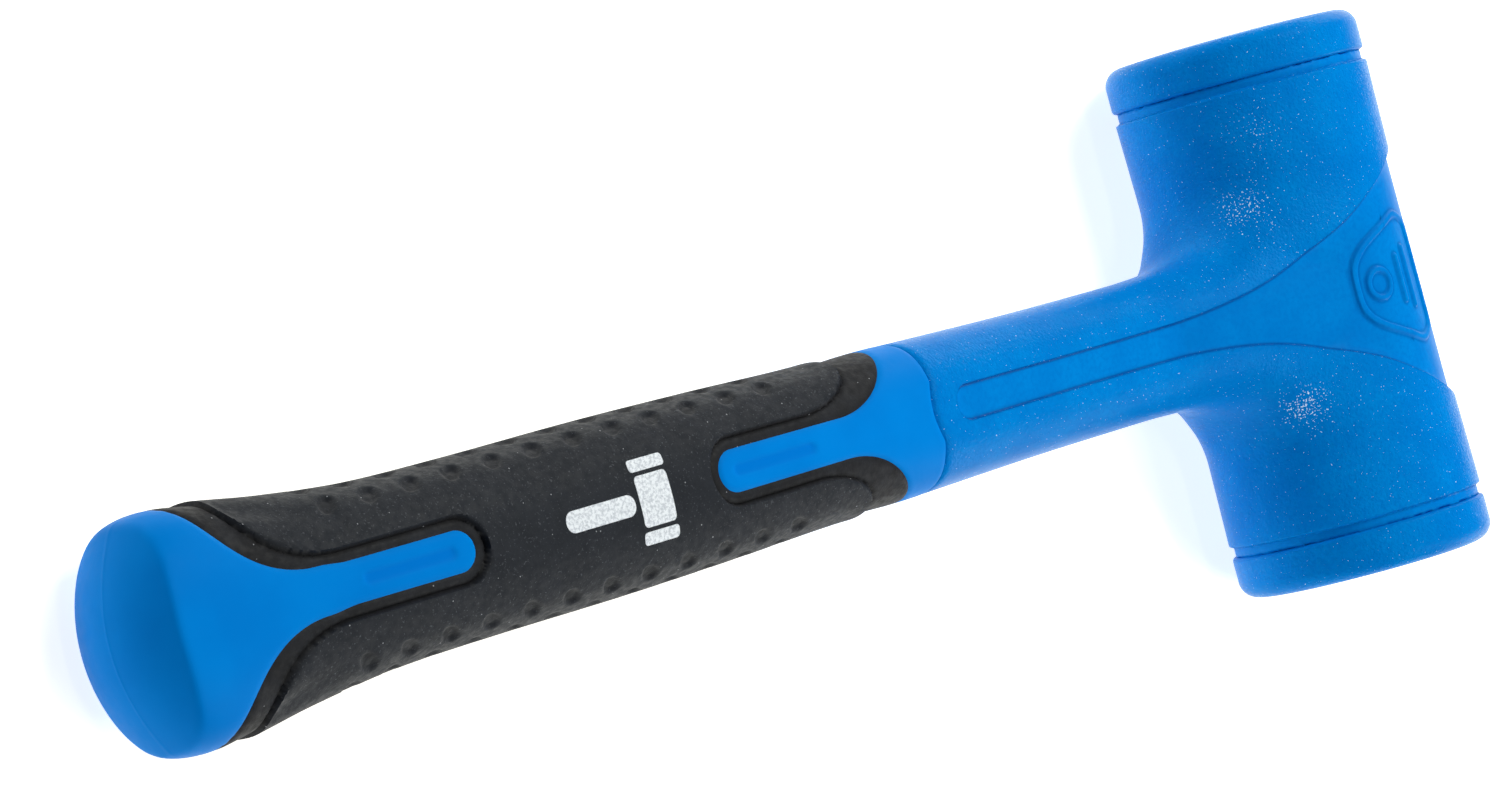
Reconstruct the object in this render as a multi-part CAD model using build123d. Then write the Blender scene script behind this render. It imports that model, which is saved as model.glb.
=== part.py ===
from build123d import *
from math import asin, atan2, ceil, cos, degrees, hypot, pi, sin, sqrt
import os

# Dead blow mallet. The parts are drawn in the tool's own axes: origin at the middle of the head, X towards
# the crown (the handle runs to -X), Y along the head from face to face, Z across the tool. At the end the
# whole tool is turned about Y and set down so that it lies on its side on the XY plane.

# Head and striking caps
HEAD_LENGTH = 98.0
FACE_DIAMETER = 46.0
CAP_THICKNESS = 8.2
FACE_CROWN = 0.5
FACE_FLAT_RADIUS = 12.0
CAP_OUTER_ROUND = 3.2
CAP_INNER_ROUND = 0.8
WAIST_DIAMETER = 45.2
GROOVE_WIDTH = 1.9
GROOVE_DEPTH = 0.8
SPIGOT_LENGTH = 3.3

# Shot canister
CANISTER_DIAMETER = 36.0
CANISTER_WALL = 2.5
CANISTER_LENGTH = 75.0
END_DISC_THICKNESS = 3.0
END_DISC_SETBACK = 1.8
FILL_HOLE_DIAMETER = 7.0
FILL_HOLE_OFFSET = 7.5
PLUG_RIM = 1.5
PLUG_HEAD_HEIGHT = 1.2

# Shot charge: balls in hexagonal layers, every second layer shifted into the hollows of the last
BALL_DIAMETER = 6.0
BALL_GAP = 0.05
SHOT_LAYERS = 11

# Handle core
CORE_DIAMETER = 13.0
CORE_WALL = 2.5
CORE_END_X = -262.0
WELD_LEG = 3.0
PIN_DIAMETER = 4.0
PIN_LENGTH = 19.0
PIN_STATIONS = (-140.0, -232.0)
WASHER_DIAMETER = 19.0
WASHER_THICKNESS = 1.6
END_PLUG_LENGTH = 12.0
END_PLUG_FLANGE = 1.5

# Neck and grip: half-width (along Y) and half-thickness (along Z) at stations along X
JOINT_X = -106.5
JOINT_BULGE = 1.4
JOINT_BULGE_HALF_WIDTH = 5.0
NECK_STATIONS = (
    (-4.0, 27.0, 21.3),
    (-12.0, 26.0, 19.8),
    (-20.0, 21.5, 17.65),
    (-24.0, 17.6, 16.5),
    (-28.0, 14.4, 15.35),
    (-32.0, 12.9, 14.15),
    (-37.0, 12.4, 12.7),
    (-42.0, 12.2, 11.25),
    (-46.0, 12.1, 10.75),
    (-56.0, 12.1, 10.7),
    (-75.0, 12.2, 10.7),
    (-92.0, 12.5, 10.9),
    (-110.0, 12.9, 11.4),
)
GRIP_STATIONS = (
    (-100.0, 12.7, 11.2),
    (-112.0, 12.9, 11.5),
    (-126.0, 12.6, 11.8),
    (-150.0, 13.2, 12.2),
    (-175.0, 13.6, 12.4),
    (-205.0, 13.6, 12.4),
    (-225.0, 14.0, 12.3),
    (-242.0, 15.6, 12.3),
    (-254.0, 17.3, 12.3),
    (-263.0, 18.3, 12.3),
    (-269.0, 16.8, 12.3),
    (-276.0, 11.5, 12.2),
)
SECTION_POWER = 2.5
SECTION_POINTS = 16
NECK_SPACING = 4.0
GRIP_SPACING = 8.0
BUTT_TIP_X = -273.6
BUTT_PLAN_RADIUS = 26.0
BUTT_SIDE_RADIUS = 20.0
BUTT_TRIM_HALF_HEIGHT = 15.0

# Black sleeve: plan outlines, mirrored about the XZ plane
SLEEVE_THICKNESS = 3.0
SLEEVE_FRONT_X = -112.4
SLEEVE_REAR_X = -262.2
TONGUE_HALF_WIDTH = 3.35
FRONT_TONGUE_TIP_X = -158.8
REAR_TONGUE_TIP_X = -211.7
RIM_WIDTH = 1.7
PAD_HEIGHT = 0.7
PAD_FRONT_X = -124.0
PAD_REAR_X = -249.0
# Each flare: where it starts on the grip's side (along Y), a point on its arc, and where it meets the strip
SLEEVE_FRONT_FLARE = (12.65, (-119.3, 6.4), -129.0)
SLEEVE_REAR_FLARE = (17.5, (-253.0, 6.9), -243.0)
PAD_FRONT_FLARE = (13.0, (-127.4, 8.0), -138.0)
PAD_REAR_FLARE = (15.5, (-241.0, 8.4), -231.0)

HEAD_RADIUS = FACE_DIAMETER / 2
CAP_INNER_Y = HEAD_LENGTH / 2 - CAP_THICKNESS
CANISTER_RADIUS = CANISTER_DIAMETER / 2
BORE_RADIUS = CANISTER_RADIUS - CANISTER_WALL
CORE_RADIUS = CORE_DIAMETER / 2
FAR = 60.0


def skin_section(x, half_width, half_thickness):
    """One cross-section of the handle: a superellipse in a plane across X."""
    points = []
    for step in range(SECTION_POINTS):
        turn = 2 * pi * step / SECTION_POINTS
        c, s = cos(turn), sin(turn)
        y = half_width * abs(c) ** (2 / SECTION_POWER) * (1 if c >= 0 else -1)
        z = half_thickness * abs(s) ** (2 / SECTION_POWER) * (1 if s >= 0 else -1)
        points.append((x, y, z))
    return make_face(Spline(*points, periodic=True))


def slope(stations, index, part):
    """Rate of change of a station's size along X, from its neighbours."""
    before = stations[max(index - 1, 0)]
    after = stations[min(index + 1, len(stations) - 1)]
    return (after[part] - before[part]) / (after[0] - before[0])


def size_at(stations, x, part):
    """Smooth curve through the stations: one cubic between each pair."""
    index = 0
    while index < len(stations) - 2 and x < stations[index + 1][0]:
        index += 1
    low, high = stations[index], stations[index + 1]
    span = high[0] - low[0]
    t = (x - low[0]) / span
    rise = slope(stations, index, part) * span
    run = slope(stations, index + 1, part) * span
    blend = t * t * (3 - 2 * t)
    return low[part] + blend * (high[part] - low[part]) + t * (1 - t) * (rise * (1 - t) - run * t)


def handle_loft(stations, spacing, grow=0.0):
    """The handle's skin through evenly spaced sections, grown outwards by an even amount."""
    start, end = stations[0][0], stations[-1][0]
    count = ceil((start - end) / spacing)
    sections = []
    for step in range(count + 1):
        x = start + (end - start) * step / count
        half_width = size_at(stations, x, 1) + grow
        half_thickness = size_at(stations, x, 2) + grow
        sections.append(skin_section(x, half_width, half_thickness))
    return loft(sections)


def butt_trim(grow=0.0):
    """All that lies ahead of the domed butt end: a barrel about Z, joined to a box in front of it."""
    axis_x = BUTT_TIP_X + BUTT_PLAN_RADIUS
    arc_x = BUTT_TIP_X + BUTT_SIDE_RADIUS
    top = BUTT_TRIM_HALF_HEIGHT
    reach = sqrt((BUTT_SIDE_RADIUS + grow) ** 2 - top**2)
    profile = Plane.XZ * make_face(
        Line((axis_x, -top), (arc_x - reach, -top))
        + ThreePointArc((arc_x - reach, -top), (BUTT_TIP_X - grow, 0), (arc_x - reach, top))
        + Line((arc_x - reach, top), (axis_x, top))
        + Line((axis_x, top), (axis_x, -top))
    )
    barrel = revolve(profile, Axis((axis_x, 0, 0), (0, 0, 1)))
    front = Pos(axis_x + 100, 0, 0) * Box(200, 2 * FAR, 2 * FAR)
    return barrel + front


def joint_plan(x_far):
    """Plan of all that lies between the neck's end and a plane across X at x_far."""
    bulge = JOINT_BULGE_HALF_WIDTH
    outline = (
        Line((x_far, -FAR), (JOINT_X, -FAR))
        + Line((JOINT_X, -FAR), (JOINT_X, -bulge))
        + ThreePointArc((JOINT_X, -bulge), (JOINT_X - JOINT_BULGE, 0), (JOINT_X, bulge))
        + Line((JOINT_X, bulge), (JOINT_X, FAR))
        + Line((JOINT_X, FAR), (x_far, FAR))
        + Line((x_far, FAR), (x_far, -FAR))
    )
    return extrude(make_face(outline), FAR, both=True)


def tongue_plan(side_x, flare, tip_x, half_width):
    """Plan of a blue tongue with its flare: an arc from the side of the grip, then a round-ended strip."""
    side_y, mid, neck = flare
    away = side_x + (FAR if side_x > tip_x else -FAR)
    root = tip_x + (half_width if side_x > tip_x else -half_width)
    upper = (
        Line((away, FAR), (side_x, FAR))
        + Line((side_x, FAR), (side_x, side_y))
        + ThreePointArc((side_x, side_y), mid, (neck, half_width))
        + Line((neck, half_width), (root, half_width))
    )
    tip = ThreePointArc((root, half_width), (tip_x, 0), (root, -half_width))
    outline = upper + tip + mirror(upper, Plane.XZ) + Line((away, FAR), (away, -FAR))
    return extrude(make_face(outline), FAR, both=True)


def between(x_low, x_high):
    """A block that spans the tool between two planes across X."""
    return Pos((x_low + x_high) / 2, 0, 0) * Box(x_high - x_low, 2 * FAR, 2 * FAR)


def along_y(radius, y_low, y_high, x=0.0, z=0.0):
    """A round bar parallel to Y."""
    bar = Cylinder(radius, y_high - y_low)
    return Pos(x, (y_low + y_high) / 2, z) * Rot(90, 0, 0) * bar


def along_x(radius, x_low, x_high):
    """A round bar on the X axis."""
    return Pos((x_low + x_high) / 2, 0, 0) * Rot(0, 90, 0) * Cylinder(radius, x_high - x_low)


def head_blank():
    """The jacket over the head: waisted, with a groove beside each cap."""
    end = CAP_INNER_Y
    shoulder = end - GROOVE_WIDTH
    outer = HEAD_RADIUS
    waist = WAIST_DIAMETER / 2
    floor = outer - GROOVE_DEPTH
    half = (
        Line((outer, shoulder), (floor, shoulder))
        + Line((floor, shoulder), (floor, end))
        + Line((floor, end), (0, end))
    )
    outline = (
        ThreePointArc((outer, -shoulder), (waist, 0), (outer, shoulder))
        + half
        + mirror(half, Plane.XZ)
        + Line((0, end), (0, -end))
    )
    return revolve(make_face(outline), Axis.Y)


def jacket_blank():
    """Head and neck in one; the neck flares into the head."""
    neck = handle_loft(NECK_STATIONS, NECK_SPACING) - joint_plan(JOINT_X - FAR)
    return head_blank() + neck


def head_jacket():
    blank = jacket_blank()
    bores = along_y(CANISTER_RADIUS, -FAR, FAR)
    core = along_x(CORE_RADIUS, JOINT_X - FAR, 0)
    seat = along_x(WASHER_DIAMETER / 2, JOINT_X - FAR, JOINT_X + WASHER_THICKNESS)
    return blank - bores - core - seat - weld_bead()


def striking_cap(side):
    """Face flange with a spigot that plugs the jacket's bore; the face is crowned around a flat middle."""
    face = HEAD_LENGTH / 2
    inner = CAP_INNER_Y
    rim = face - FACE_CROWN
    spigot = CANISTER_RADIUS
    end = inner - SPIGOT_LENGTH
    outline = (
        Line((0, face), (FACE_FLAT_RADIUS, face))
        + Line((FACE_FLAT_RADIUS, face), (HEAD_RADIUS, rim))
        + Line((HEAD_RADIUS, rim), (HEAD_RADIUS, inner))
        + Line((HEAD_RADIUS, inner), (spigot, inner))
        + Line((spigot, inner), (spigot, end))
        + Line((spigot, end), (0, end))
        + Line((0, end), (0, face))
    )
    cap = revolve(make_face(outline), Axis.Y)
    circles = cap.edges().filter_by(GeomType.CIRCLE)
    widest = [edge for edge in circles if edge.radius > HEAD_RADIUS - 0.1]
    cap = fillet([edge for edge in widest if edge.center().Y > rim - 0.1], CAP_OUTER_ROUND)
    circles = cap.edges().filter_by(GeomType.CIRCLE)
    widest = [edge for edge in circles if edge.radius > HEAD_RADIUS - 0.1]
    cap = fillet([edge for edge in widest if edge.center().Y < inner + 0.1], CAP_INNER_ROUND)
    return cap if side > 0 else mirror(cap, Plane.XZ)


def canister_tube():
    half = CANISTER_LENGTH / 2
    return along_y(CANISTER_RADIUS, -half, half) - along_y(BORE_RADIUS, -half, half)


def end_disc(side):
    outer = CANISTER_LENGTH / 2 - END_DISC_SETBACK
    disc = along_y(BORE_RADIUS, outer - END_DISC_THICKNESS, outer)
    if side > 0:
        disc -= along_y(FILL_HOLE_DIAMETER / 2, 0, FAR, x=FILL_HOLE_OFFSET)
    return disc if side > 0 else mirror(disc, Plane.XZ)


def fill_plug():
    outer = CANISTER_LENGTH / 2 - END_DISC_SETBACK
    shank = along_y(FILL_HOLE_DIAMETER / 2, outer - END_DISC_THICKNESS, outer, x=FILL_HOLE_OFFSET)
    head = along_y(FILL_HOLE_DIAMETER / 2 + PLUG_RIM, outer, outer + PLUG_HEAD_HEIGHT, x=FILL_HOLE_OFFSET)
    return shank + head


def canister_welds():
    """A ring bead in the corner between the tube's bore and each disc."""
    low = CANISTER_LENGTH / 2 - END_DISC_SETBACK
    high = CANISTER_LENGTH / 2
    toe = (BORE_RADIUS - END_DISC_SETBACK, low)
    profile = Polyline((BORE_RADIUS, low), (BORE_RADIUS, high), toe, close=True)
    ring = revolve(make_face(profile), Axis.Y)
    return [ring, mirror(ring, Plane.XZ)]


def steel_shot():
    """Balls in hexagonal layers across the canister, each layer resting in the hollows of the last."""
    pitch = BALL_DIAMETER + BALL_GAP
    step = pitch * sqrt(2 / 3)
    limit = BORE_RADIUS - BALL_DIAMETER / 2 - BALL_GAP
    start = -step * (SHOT_LAYERS - 1) / 2
    balls = []
    for layer in range(SHOT_LAYERS):
        shift = pitch / sqrt(3) if layer % 2 else 0.0
        for row in range(-4, 5):
            for column in range(-6, 7):
                x = pitch * (column + row / 2) + shift * cos(pi / 6)
                z = pitch * row * sqrt(3) / 2 + shift * sin(pi / 6)
                if hypot(x, z) <= limit:
                    balls.append(Pos(x, start + step * layer, z) * Sphere(BALL_DIAMETER / 2))
    return balls


def core_tube():
    tube = along_x(CORE_RADIUS, CORE_END_X, 0) - along_x(CORE_RADIUS - CORE_WALL, CORE_END_X, 0)
    tube -= along_y(CANISTER_RADIUS, -FAR, FAR)
    for x in PIN_STATIONS:
        tube -= along_y(PIN_DIAMETER / 2, -FAR, FAR, x=x)
    return tube


def weld_bead():
    """The fillet weld around the core tube where it is coped on to the canister."""
    reach = CANISTER_RADIUS + WELD_LEG
    bead = along_x(CORE_RADIUS + WELD_LEG, -reach, 0)
    bead = chamfer(bead.edges().group_by(Axis.X)[0], WELD_LEG * 0.8)
    bead -= along_x(CORE_RADIUS, -FAR, 0)
    return bead - along_y(CANISTER_RADIUS, -FAR, FAR)


def retaining_pins():
    half = PIN_LENGTH / 2
    return [along_y(PIN_DIAMETER / 2, -half, half, x=x) for x in PIN_STATIONS]


def joint_washer():
    washer = along_x(WASHER_DIAMETER / 2, JOINT_X, JOINT_X + WASHER_THICKNESS)
    return washer - along_x(CORE_RADIUS, -FAR * 3, 0)


def core_end_plug():
    shank = along_x(CORE_RADIUS - CORE_WALL, CORE_END_X, CORE_END_X + END_PLUG_LENGTH)
    return shank + along_x(CORE_RADIUS, CORE_END_X - END_PLUG_FLANGE, CORE_END_X)


def grip_blank(grow=0.0):
    skin = handle_loft(GRIP_STATIONS, GRIP_SPACING, grow) & butt_trim(grow)
    return skin & joint_plan(BUTT_TIP_X - FAR)


def sleeve_zone():
    """The part of the grip that the soft sleeve covers, as a block cut through in plan."""
    front = tongue_plan(SLEEVE_FRONT_X, SLEEVE_FRONT_FLARE, FRONT_TONGUE_TIP_X, TONGUE_HALF_WIDTH)
    rear = tongue_plan(SLEEVE_REAR_X, SLEEVE_REAR_FLARE, REAR_TONGUE_TIP_X, TONGUE_HALF_WIDTH)
    return between(SLEEVE_REAR_X, SLEEVE_FRONT_X) - front - rear


def pad_zone():
    """The raised part of the sleeve, which stands back from its edges by a flat rim."""
    width = TONGUE_HALF_WIDTH + RIM_WIDTH
    front = tongue_plan(PAD_FRONT_X, PAD_FRONT_FLARE, FRONT_TONGUE_TIP_X - RIM_WIDTH, width)
    rear = tongue_plan(PAD_REAR_X, PAD_REAR_FLARE, REAR_TONGUE_TIP_X + RIM_WIDTH, width)
    return between(PAD_REAR_X, PAD_FRONT_X) - front - rear


def grip_sleeve():
    shell = grip_blank() - grip_blank(-SLEEVE_THICKNESS)
    pads = (grip_blank(PAD_HEIGHT) - grip_blank(-1)) & pad_zone()
    return (shell & sleeve_zone()) + pads


def grip_core():
    blank = grip_blank()
    sleeve = (grip_blank(1) - grip_blank(-SLEEVE_THICKNESS)) & sleeve_zone()
    blank -= sleeve
    blank -= along_x(CORE_RADIUS, CORE_END_X - END_PLUG_FLANGE, 0)
    for pin in retaining_pins():
        blank -= pin
    return blank


def lying(solids):
    """Turns the tool about Y so that the caps and the butt both touch the ground."""
    butt_drop = GRIP_STATIONS[-3][2]
    butt_reach = -(BUTT_TIP_X + BUTT_SIDE_RADIUS - sqrt(BUTT_SIDE_RADIUS**2 - butt_drop**2))
    tilt = asin(HEAD_RADIUS / hypot(butt_reach, butt_drop)) - atan2(butt_drop, butt_reach)
    return [Rot(0, -degrees(tilt), 0) * solid for solid in solids]


nodes = {
    "head_jacket": [head_jacket()],
    "striking_cap_left": [striking_cap(-1)],
    "striking_cap_right": [striking_cap(1)],
    "canister_tube": [canister_tube()],
    "canister_end_left": [end_disc(-1)],
    "canister_end_right": [end_disc(1)],
    "canister_welds": canister_welds(),
    "fill_plug": [fill_plug()],
    "steel_shot": steel_shot(),
    "core_tube": [core_tube()],
    "core_weld": [weld_bead()],
    "joint_washer": [joint_washer()],
    "retaining_pins": retaining_pins(),
    "core_end_plug": [core_end_plug()],
    "grip_core": [grip_core()],
    "grip_sleeve": [grip_sleeve()],
}

nodes = {name: lying(solids) for name, solids in nodes.items()}
box = Compound([solid for solids in nodes.values() for solid in solids]).bounding_box()
to_origin = Pos(-box.center().X, -box.center().Y, -box.min.Z)
print("overall size", box.size, "head centre", to_origin.position)

os.makedirs("parts", exist_ok=True)
for name, solids in nodes.items():
    placed = [to_origin * solid for solid in solids]
    shape = placed[0] if len(placed) == 1 else Compound(placed)
    export_step(shape, f"parts/{name}.step")
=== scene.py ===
from math import cos, hypot, pi, radians, sin

import bmesh
import bpy
import numpy as np
from mathutils import Matrix, Vector


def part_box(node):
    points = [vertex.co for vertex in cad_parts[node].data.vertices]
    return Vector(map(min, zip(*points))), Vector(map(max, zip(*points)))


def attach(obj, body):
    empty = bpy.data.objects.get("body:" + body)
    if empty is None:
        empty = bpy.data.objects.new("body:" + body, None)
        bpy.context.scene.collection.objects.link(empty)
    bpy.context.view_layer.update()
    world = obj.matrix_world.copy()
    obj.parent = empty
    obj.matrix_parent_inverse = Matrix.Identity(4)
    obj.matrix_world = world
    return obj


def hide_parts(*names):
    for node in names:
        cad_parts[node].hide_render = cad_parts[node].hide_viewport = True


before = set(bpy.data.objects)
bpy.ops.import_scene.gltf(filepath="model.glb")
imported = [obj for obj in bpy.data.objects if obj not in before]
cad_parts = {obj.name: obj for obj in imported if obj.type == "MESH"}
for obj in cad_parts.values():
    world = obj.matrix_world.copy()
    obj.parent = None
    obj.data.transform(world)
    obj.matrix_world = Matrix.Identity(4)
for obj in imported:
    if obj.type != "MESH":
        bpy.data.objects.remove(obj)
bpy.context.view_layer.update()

# Everything is drawn in the tool's own axes, in millimetres: origin at the middle of the head, X towards the
# crown (the handle runs to -X), Y along the head, Z up out of the side with the print.
MM = 0.001


def middle(node):
    low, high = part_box(node)
    return (low + high) / 2


HEAD = (middle("striking_cap_left") + middle("striking_cap_right")) / 2
TOOL_X = (HEAD - middle("retaining_pins")).normalized()
TOOL_Y = Vector((0, 1, 0))
TOOL_Z = TOOL_X.cross(TOOL_Y).normalized()
AXES = np.array([TOOL_X, TOOL_Y, TOOL_Z])
CENTRE = np.array(HEAD)


def placed(points):
    """Tool millimetres to frame metres."""
    return CENTRE + np.asarray(points, float) @ AXES * MM


def in_tool(points):
    """Frame metres to tool millimetres."""
    return (np.asarray(points, float) - CENTRE) @ AXES.T / MM


# ---------------------------------------------------------------- camera
CAMERA_AT = (-773.2, 19.6, 664.1)
CAMERA_RIGHT = (0.6949, -0.2611, 0.6700)
CAMERA_UP = (0.1958, 0.9653, 0.1730)
CAMERA_LENS = 136.8

camera = bpy.data.objects.new("camera", bpy.data.cameras.new("camera"))
bpy.context.scene.collection.objects.link(camera)
right = Vector(np.array(CAMERA_RIGHT) @ AXES).normalized()
up = Vector(np.array(CAMERA_UP) @ AXES)
back = right.cross(up).normalized()
up = back.cross(right).normalized()
turn = Matrix((right, up, back)).transposed()
camera.matrix_world = Matrix.Translation(placed(CAMERA_AT)) @ turn.to_4x4()
camera.data.lens = CAMERA_LENS
camera.data.sensor_width = 36
camera.data.clip_start = 0.01
bpy.context.scene.camera = camera

# ---------------------------------------------------------------- driving dimensions of the tool
WAIST_RADIUS = 22.6
SHOULDER_RADIUS = 23.0
SHOULDER_Y = 38.9
JACKET_END_Y = 40.8
GROOVE_DEPTH = 0.8
FACE_Y = 49.0
BORE_RADIUS = 18.0
CORE_RADIUS = 6.5
SEAT_RADIUS = 9.5
JOINT_X = -106.5
JOINT_BULGE = 1.4
JOINT_BULGE_HALF_WIDTH = 5.0
SECTION_POWER = 2.5
NECK_STATIONS = (
    (-4.0, 27.0, 21.3),
    (-12.0, 26.0, 19.8),
    (-20.0, 21.5, 17.65),
    (-24.0, 17.6, 16.5),
    (-28.0, 14.4, 15.35),
    (-32.0, 12.9, 14.15),
    (-37.0, 12.4, 12.7),
    (-42.0, 12.2, 11.25),
    (-46.0, 12.1, 10.75),
    (-56.0, 12.1, 10.7),
    (-75.0, 12.2, 10.7),
    (-92.0, 12.5, 10.9),
    (-110.0, 12.9, 11.4),
)
GRIP_STATIONS = (
    (-100.0, 12.7, 11.2),
    (-112.0, 12.9, 11.5),
    (-126.0, 12.6, 11.8),
    (-150.0, 13.2, 12.2),
    (-175.0, 13.6, 12.4),
    (-205.0, 13.6, 12.4),
    (-225.0, 14.0, 12.3),
    (-242.0, 15.6, 12.3),
    (-254.0, 17.3, 12.3),
    (-263.0, 18.3, 12.3),
    (-269.0, 16.8, 12.3),
    (-276.0, 11.5, 12.2),
)
BUTT_TIP_X = -273.575
BUTT_PLAN_RADIUS = 26.0
BUTT_SIDE_RADIUS = 20.0
SLEEVE_THICKNESS = 2.6
BED_GAP = 0.03
CORE_END_X = -263.5

# Sunk panel on the jacket: half-width of its edge at stations along X
PANEL_STATIONS = (
    (-99.0, 3.1),
    (-46.0, 3.1),
    (-35.0, 3.9),
    (-25.0, 5.7),
    (-15.5, 8.9),
    (-8.0, 12.1),
    (3.1, 17.8),
    (10.8, 21.6),
    (26.0, 27.8),
)
PANEL_TIP_X = -98.7
PANEL_TIP_RADIUS = 3.1
PANEL_DEPTH = 0.8
PANEL_LEAST_DEPTH = 0.68
PANEL_WALL_WIDTH = 0.26
PANEL_WALL_SHARE = 0.72
PANEL_FOOT_WIDTH = 1.3
PANEL_CROWN_RADIUS = 21.85
RAMP_LOW = (-43.0, 10.2)
RAMP_HIGH = (-6.2, 20.95)


def through(stations, x, part):
    """Smooth curve through stations that run one way along X: one cubic between each pair."""
    table = np.array(stations, float)
    if table[0, 0] > table[-1, 0]:
        table = table[::-1]
    at, size = table[:, 0], table[:, part]
    tangent = np.empty_like(size)
    tangent[1:-1] = (size[2:] - size[:-2]) / (at[2:] - at[:-2])
    tangent[0] = (size[1] - size[0]) / (at[1] - at[0])
    tangent[-1] = (size[-1] - size[-2]) / (at[-1] - at[-2])
    x = np.clip(x, at[0], at[-1])
    i = np.clip(np.searchsorted(at, x) - 1, 0, len(at) - 2)
    span = at[i + 1] - at[i]
    t = (x - at[i]) / span
    blend = t * t * (3 - 2 * t)
    swing = tangent[i] * (1 - t) - tangent[i + 1] * t
    return size[i] + blend * (size[i + 1] - size[i]) + t * (1 - t) * swing * span


def smooth(t):
    t = np.clip(t, 0, 1)
    return t * t * (3 - 2 * t)


def soft_min(a, b, k):
    h = np.clip(0.5 + 0.5 * (b - a) / k, 0, 1)
    return b + (a - b) * h - k * h * (1 - h)


def soft_max(a, b, k):
    return -soft_min(-a, -b, k)


# ---------------------------------------------------------------- materials
def linear(*srgb):
    """Colour of 0-255 display values as linear RGBA."""
    values = []
    for value in srgb:
        c = value / 255
        values.append(c / 12.92 if c <= 0.04045 else ((c + 0.055) / 1.055) ** 2.4)
    return (*values, 1.0)


class Finish:
    """A material under construction: one Principled shader with coordinates in millimetres."""

    def __init__(self, name, roughness, specular=0.5, metallic=0.0, tint=None):
        self.material = bpy.data.materials.new(name)
        self.material.use_nodes = True
        self.tree = self.material.node_tree
        self.tree.nodes.clear()
        self.shader = self.add("ShaderNodeBsdfPrincipled")
        self.shader.inputs["Roughness"].default_value = roughness
        self.shader.inputs["Specular IOR Level"].default_value = specular
        self.shader.inputs["Metallic"].default_value = metallic
        if tint:
            self.shader.inputs["Specular Tint"].default_value = tint
        output = self.add("ShaderNodeOutputMaterial")
        self.link(self.shader.outputs[0], output.inputs[0])
        place = self.add("ShaderNodeTexCoord")
        scale = self.add("ShaderNodeVectorMath", operation="SCALE")
        scale.inputs["Scale"].default_value = 1 / MM
        self.link(place.outputs["Object"], scale.inputs[0])
        self.mm = scale.outputs[0]
        self.normal = None

    def add(self, kind, **settings):
        node = self.tree.nodes.new(kind)
        for key, value in settings.items():
            setattr(node, key, value)
        return node

    def link(self, source, target):
        self.tree.links.new(source, target)

    def noise(self, size, detail=2.0, rough=0.5):
        """Noise between about 0 and 1 whose blobs are size millimetres across."""
        node = self.add("ShaderNodeTexNoise")
        node.inputs["Scale"].default_value = 1 / size
        node.inputs["Detail"].default_value = detail
        node.inputs["Roughness"].default_value = rough
        self.link(self.mm, node.inputs["Vector"])
        return node.outputs["Fac"]

    def cells(self, size):
        """Distance to the nearest of scattered points that are about size millimetres apart."""
        node = self.add("ShaderNodeTexVoronoi", feature="F1")
        node.inputs["Scale"].default_value = 1 / size
        self.link(self.mm, node.inputs["Vector"])
        return node.outputs["Distance"]

    def ramp(self, value, low, high, out_low=0.0, out_high=1.0):
        node = self.add("ShaderNodeMapRange", interpolation_type="SMOOTHSTEP")
        node.inputs["From Min"].default_value = low
        node.inputs["From Max"].default_value = high
        node.inputs["To Min"].default_value = out_low
        node.inputs["To Max"].default_value = out_high
        self.link(value, node.inputs["Value"])
        return node.outputs["Result"]

    def math(self, operation, a, b):
        node = self.add("ShaderNodeMath", operation=operation)
        for socket, value in zip(node.inputs, (a, b)):
            if isinstance(value, (int, float)):
                socket.default_value = value
            else:
                self.link(value, socket)
        return node.outputs[0]

    def attribute(self, name):
        return self.add("ShaderNodeAttribute", attribute_name=name).outputs["Fac"]

    def mix(self, value, first, second):
        node = self.add("ShaderNodeMix", data_type="RGBA")
        self.link(value, node.inputs["Factor"])
        for socket, colour in ((node.inputs[6], first), (node.inputs[7], second)):
            if isinstance(colour, tuple):
                socket.default_value = colour
            else:
                self.link(colour, socket)
        return node.outputs[2]

    def colour(self, socket):
        self.link(socket, self.shader.inputs["Base Color"])

    def roughness(self, socket):
        self.link(socket, self.shader.inputs["Roughness"])

    def bump(self, height, depth, strength=1.0):
        """Adds relief: depth is in millimetres for a height of 1."""
        node = self.add("ShaderNodeBump")
        node.inputs["Distance"].default_value = depth * MM
        if isinstance(strength, (int, float)):
            node.inputs["Strength"].default_value = strength
        else:
            self.link(strength, node.inputs["Strength"])
        self.link(height, node.inputs["Height"])
        if self.normal:
            self.link(self.normal, node.inputs["Normal"])
        self.normal = node.outputs[0]
        self.link(self.normal, self.shader.inputs["Normal"])


BLUE_TINT = (0.15, 0.5, 1.0, 1.0)
SHARP_ANGLE = radians(50)


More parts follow.
